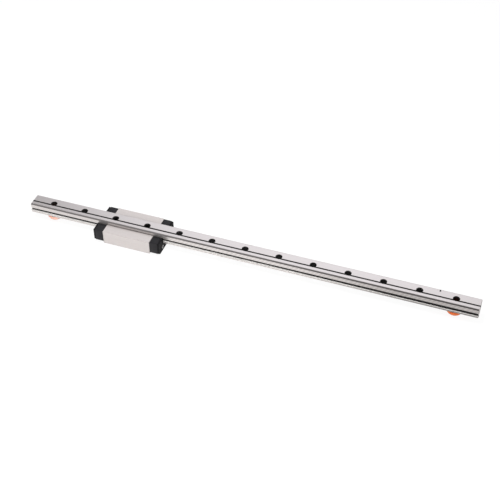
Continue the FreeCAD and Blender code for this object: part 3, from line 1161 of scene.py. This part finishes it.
@dataclass
class CapScrew:
    """Socket screw that holds a seal and a cap to the steel body."""

    end: End
    side: Side
    block_middle: float = -51.65 * MM
    seat: float = 14.6 * MM
    across: float = 3.9 * MM
    height: float = 1.695 * MM
    head_radius: float = 0.855 * MM
    head_length: float = 0.74 * MM
    head_round: float = 0.12 * MM
    socket_apothem: float = 0.42 * MM
    socket_depth: float = 0.4 * MM
    socket_margin: float = 1.2
    steps: int = 24

    def build(self) -> None:
        """Builds and dresses the screw's head, which is all that shows of it."""
        shape = bmesh.new()
        bmesh.ops.create_cone(
            shape,
            cap_ends=True,
            segments=self.steps,
            radius1=self.head_radius,
            radius2=self.head_radius,
            depth=self.head_length,
        )
        top = max(shape.faces, key=lambda face: face.calc_center_median().z)
        rim = list(top.edges)
        ring = self.head_radius - self.socket_apothem * self.socket_margin
        bmesh.ops.inset_region(shape, faces=[top], thickness=ring)
        self._square_off(top)
        sunk = bmesh.ops.extrude_face_region(shape, geom=[top])
        bmesh.ops.delete(shape, geom=[top], context="FACES_ONLY")
        floor = [item for item in sunk["geom"] if isinstance(item, bmesh.types.BMVert)]
        bmesh.ops.translate(shape, verts=floor, vec=(0.0, 0.0, -self.socket_depth))
        bevel(shape, rim, self.head_round, segments=3)
        bmesh.ops.translate(
            shape, verts=shape.verts, vec=(0.0, 0.0, self.seat + self.head_length / 2)
        )
        bmesh.ops.rotate(
            shape,
            verts=shape.verts,
            cent=(0.0, 0.0, 0.0),
            matrix=Matrix.Rotation(self.end.value * math.pi / 2, 3, "Y"),
        )
        bmesh.ops.translate(
            shape,
            verts=shape.verts,
            vec=(self.block_middle, self.side.value * self.across, self.height),
        )
        name = f"cap_screw_{self.end.label}_{self.side.label}"
        add_piece(name, shape, SCREW_STEEL, Body.CARRIAGE)

    def _square_off(self, top: bmesh.types.BMFace) -> None:
        """Moves the corners of a ring onto the six sides of the socket.

        Args:
            top: The face inside the ring.
        """
        sector = math.pi / 3
        for vert in top.verts:
            turn = math.atan2(vert.co.y, vert.co.x)
            reach = self.socket_apothem / math.cos((turn % sector) - sector / 2)
            vert.co.x, vert.co.y = reach * math.cos(turn), reach * math.sin(turn)


@dataclass
class StopperPlug:
    """Stopper plug: a stem in the counterbore and a domed head under the rail."""

    end: End
    station: float = 90.0 * MM
    rail_top: float = 3.2 * MM
    stem_radius: float = 2.08 * MM
    stem_length: float = 2.1 * MM
    head_radius: float = 3.65 * MM
    head_gap: float = 0.002 * MM
    rim: float = 0.25 * MM
    tip_height: float = 0.012 * MM
    tip_radius: float = 0.85 * MM
    dome_steps: int = 12
    first_step: float = 0.6
    turn_steps: int = 48

    def build(self) -> None:
        """Turns the plug's outline round its axis and dresses it."""
        shape = bmesh.new()
        points = [
            shape.verts.new((radius, 0.0, height)) for radius, height in self._outline()
        ]
        lines = [shape.edges.new(pair) for pair in zip(points, points[1:])]
        bmesh.ops.spin(
            shape,
            geom=points + lines,
            cent=(0.0, 0.0, 0.0),
            axis=(0.0, 0.0, 1.0),
            angle=2 * math.pi,
            steps=self.turn_steps,
            use_merge=True,
        )
        bmesh.ops.translate(
            shape, verts=shape.verts, vec=(self.end.value * self.station, 0.0, 0.0)
        )
        name = f"stopper_plug_{self.end.label}"
        # The left plug takes the paler copy, a painted light.
        finish = PAINTED_LIGHT_PLUG_PLASTIC if self.end is End.LEFT else PLUG_PLASTIC
        add_piece(name, shape, finish, Body.RAIL, smooth=40.0)

    def _outline(self) -> list[tuple[float, float]]:
        """Lists the outline from the stem's end to the dome's tip.

        Returns:
            Pairs of radius and height.
        """
        depth = self.rail_top - self.tip_height
        last = math.acos(self.tip_radius / self.head_radius)
        stem_end = self.rail_top + self.stem_length
        shoulder = self.rail_top + self.head_gap
        corners = [
            (0.0, stem_end),
            (self.stem_radius - self.rim / 2, stem_end),
            (self.stem_radius, stem_end - self.rim / 2),
            (self.stem_radius, shoulder),
            (self.head_radius - self.rim / 3, shoulder),
        ]
        for step in range(self.dome_steps + 1):
            turn = last * (step + self.first_step) / (self.dome_steps + self.first_step)
            height = self.rail_top - depth * math.sin(turn) / math.sin(last)
            corners.append((self.head_radius * math.cos(turn), height))
        corners.append((0.0, self.tip_height))
        return corners


@dataclass
class BallRow:
    """Row of load balls seated between the rail's and the block's tracks."""

    side: Side
    middle: float = -51.65 * MM
    spacing: float = 1.56 * MM
    count: int = 13
    radius: float = 0.75 * MM
    across: float = 3.6 * MM
    height: float = 5.12 * MM
    fineness: int = 3

    def build(self) -> None:
        """Builds and dresses the balls of one row."""
        shape = bmesh.new()
        for number in range(self.count):
            along = self.middle + (number - (self.count - 1) / 2) * self.spacing
            place = Vector((along, self.side.value * self.across, self.height))
            bmesh.ops.create_icosphere(
                shape,
                subdivisions=self.fineness,
                radius=self.radius,
                matrix=Matrix.Translation(place),
            )
        name = f"load_balls_{self.side.label}"
        add_piece(name, shape, BALL_STEEL, Body.CARRIAGE, smooth=60.0)


@dataclass(frozen=True)
class Panel:
    """Round patch of the surround that steel mirrors, with all angles in degrees.

    Its middle is given by heading, from straight behind, and by height over the horizon.
    It is even out to core and has faded out at reach, both measured from its middle.
    """

    heading: float
    height: float
    core: float
    reach: float
    tone: Triple

    def cover(self, tree: NodeTree, surround: Tone) -> bpy.types.NodeSocket:
        """Lays the patch over a surround.

        Args:
            tree: The world's tree.
            surround: What the surround shows without it.

        Returns:
            What the surround shows with it.
        """
        turn, tilt = math.radians(self.heading), math.radians(self.height)
        facing = tree.add("VectorMath", operation="DOT_PRODUCT")
        tree.link(tree.add("TexCoord").outputs["Generated"], facing.inputs[0])
        facing.inputs[1].default_value = (
            math.sin(turn) * math.cos(tilt),
            math.cos(turn) * math.cos(tilt),
            math.sin(tilt),
        )
        edge, core = math.cos(math.radians(self.reach)), math.cos(math.radians(self.core))
        patch = tree.share(facing.outputs["Value"], edge, core)
        return tree.blend(patch, surround, self.tone)


@dataclass(frozen=True)
class Lamp:
    """Soft square lamp that faces the guide and that no steel mirrors."""

    name: str
    place: Triple
    size: float
    power: float

    def hang(self) -> None:
        """Hangs the lamp and turns it to the rail."""
        lamp = bpy.data.lights.new(self.name, "AREA")
        lamp.shape = "SQUARE"
        lamp.size = self.size
        lamp.energy = self.power
        holder = bpy.data.objects.new(self.name, lamp)
        holder.location = self.place
        holder.rotation_mode = "QUATERNION"
        aim = Vector((self.place[0], 0.0, 0.0)) - Vector(self.place)
        holder.rotation_quaternion = aim.to_track_quat("-Z", "Y")
        holder.visible_glossy = False
        bpy.context.collection.objects.link(holder)


@dataclass
class Studio:
    """White table, pale surround with panels and a flag, lamps, and the photo's camera."""

    focal_length: float = 75.741
    sensor: float = 36.0
    clip_start: float = 0.01
    clip_end: float = 20.0
    camera_place: Triple = (0.112886, -0.311535, 0.303780)
    camera_yaw: float = -19.565
    camera_pitch: float = 41.82
    camera_roll: float = -0.044
    table_half: float = 3.0
    table_drop: float = 0.02 * MM
    table_colour: Triple = (0.85, 0.85, 0.85)
    table_glow: float = 1.045
    table_share: float = 0.85
    table_white: Triple = (1.025, 1.025, 1.025)
    shade_start: float = 5.0 * MM
    shade_end: float = 72.0 * MM
    shade_tone: Triple = (0.44, 0.44, 0.44)
    surround_tone: Triple = (0.75, 0.75, 0.76)
    front_flag: Panel = Panel(-180.0, 46.0, 40.0, 56.0, (0.02, 0.02, 0.021))
    side_panel: Panel = Panel(-114.0, 31.0, 33.0, 54.0, (0.26, 0.26, 0.265))
    halo: Panel = Panel(-24.7, 41.8, 15.5, 41.0, (0.33, 0.33, 0.335))
    back_panel: Panel = Panel(-14.5, 39.4, 12.3, 16.5, (1.27, 1.285, 1.345))
    top_lamp: Lamp = Lamp("top_softbox", (-0.05, -0.02, 0.32), 0.16, 0.82)
    front_lamp: Lamp = Lamp("front_fill", (0.02, -0.42, 0.14), 0.3, 1.28)

    def build(self) -> None:
        """Builds the table, the world, the lamps and the camera."""
        self._table()
        self._world()
        self.top_lamp.hang()
        self.front_lamp.hang()
        self._camera()
        bpy.context.scene.view_settings.view_transform = "Standard"
        LOG.info("built the studio")

    def _table(self) -> None:
        """Lays a white table under the guide.

        Camera rays see it white, and steel mirrors it darker towards the right.  The share
        of it that doesn't glow takes the guide's shadow.
        """
        shape = bmesh.new()
        bmesh.ops.create_grid(shape, x_segments=1, y_segments=1, size=self.table_half)
        bmesh.ops.translate(shape, verts=shape.verts, vec=(0.0, 0.0, -self.table_drop))
        mesh = bpy.data.meshes.new("table_top")
        shape.to_mesh(mesh)
        shape.free()
        table = bpy.data.objects.new("table_top", mesh)
        bpy.context.collection.objects.link(table)
        material, tree = new_tree("table_white")
        lit = tree.put(tree.add("BsdfDiffuse"), Color=(*self.table_colour, 1.0))
        path = tree.add("LightPath")
        camera = path.outputs["Is Camera Ray"]
        # Glossy and transmission rays see the glow painted darker towards the right: a
        # painted shade in the steel's reflection.
        shaded = tree.share(tree.axes()[0], self.shade_start, self.shade_end)
        tone = tree.blend(shaded, WHITE, self.shade_tone)
        tone = tree.blend(camera, tone, self.table_white)
        glow = tree.put(tree.add("Emission"), Color=tone, Strength=self.table_glow)
        seen = tree.either(
            camera, path.outputs["Is Glossy Ray"], path.outputs["Is Transmission Ray"]
        )
        mix = tree.add("MixShader")
        tree.link(tree.math("MULTIPLY", seen, self.table_share), mix.inputs[0])
        tree.link(lit.outputs[0], mix.inputs[1])
        tree.link(glow.outputs[0], mix.inputs[2])
        tree.finish("OutputMaterial", mix.outputs[0])
        mesh.materials.append(material)

    def _world(self) -> None:
        """Sets the surround, which camera rays see as plain white."""
        world = bpy.data.worlds.new("studio_surround")
        bpy.context.scene.world = world
        world.use_nodes = True
        tree = NodeTree(world.node_tree)
        tone: Tone = self.surround_tone
        for panel in (self.front_flag, self.side_panel, self.halo, self.back_panel):
            tone = panel.cover(tree, tone)
        seen = tree.add("LightPath").outputs["Is Camera Ray"]
        tone = tree.blend(seen, tone, WHITE)
        background = tree.put(tree.add("Background"), Color=tone, Strength=1.0)
        tree.finish("OutputWorld", background.outputs[0])

    def _camera(self) -> None:
        """Stands the camera where the photograph was taken."""
        camera = bpy.data.cameras.new("photo_camera")
        camera.sensor_width = self.sensor
        camera.lens = self.focal_length
        camera.clip_start, camera.clip_end = self.clip_start, self.clip_end
        holder = bpy.data.objects.new("photo_camera", camera)
        yaw, pitch = math.radians(self.camera_yaw), math.radians(self.camera_pitch)
        level = math.cos(pitch)
        forward = Vector((math.sin(yaw) * level, math.cos(yaw) * level, -math.sin(pitch)))
        holder.location = self.camera_place
        holder.rotation_mode = "QUATERNION"
        aim = forward.to_track_quat("-Z", "Y")
        roll = Matrix.Rotation(math.radians(self.camera_roll), 3, "Z").to_quaternion()
        holder.rotation_quaternion = aim @ roll
        bpy.context.collection.objects.link(holder)
        bpy.context.scene.camera = holder


def main() -> None:
    """Builds and dresses the guide, piece by piece, and then its studio."""
    logging.basicConfig(level=logging.INFO, format="%(message)s")
    FINISHES.dress("rail", RAIL_STEEL)
    FINISHES.dress("runner_block", BLOCK_STEEL)
    for side in Side:
        BallRow(side).build()
    for end in End:
        EndCap(end).build()
        EndSeal(end).build()
        StopperPlug(end).build()
        for side in Side:
            CapScrew(end, side).build()
    Studio().build()


if __name__ == "__main__":
    main()
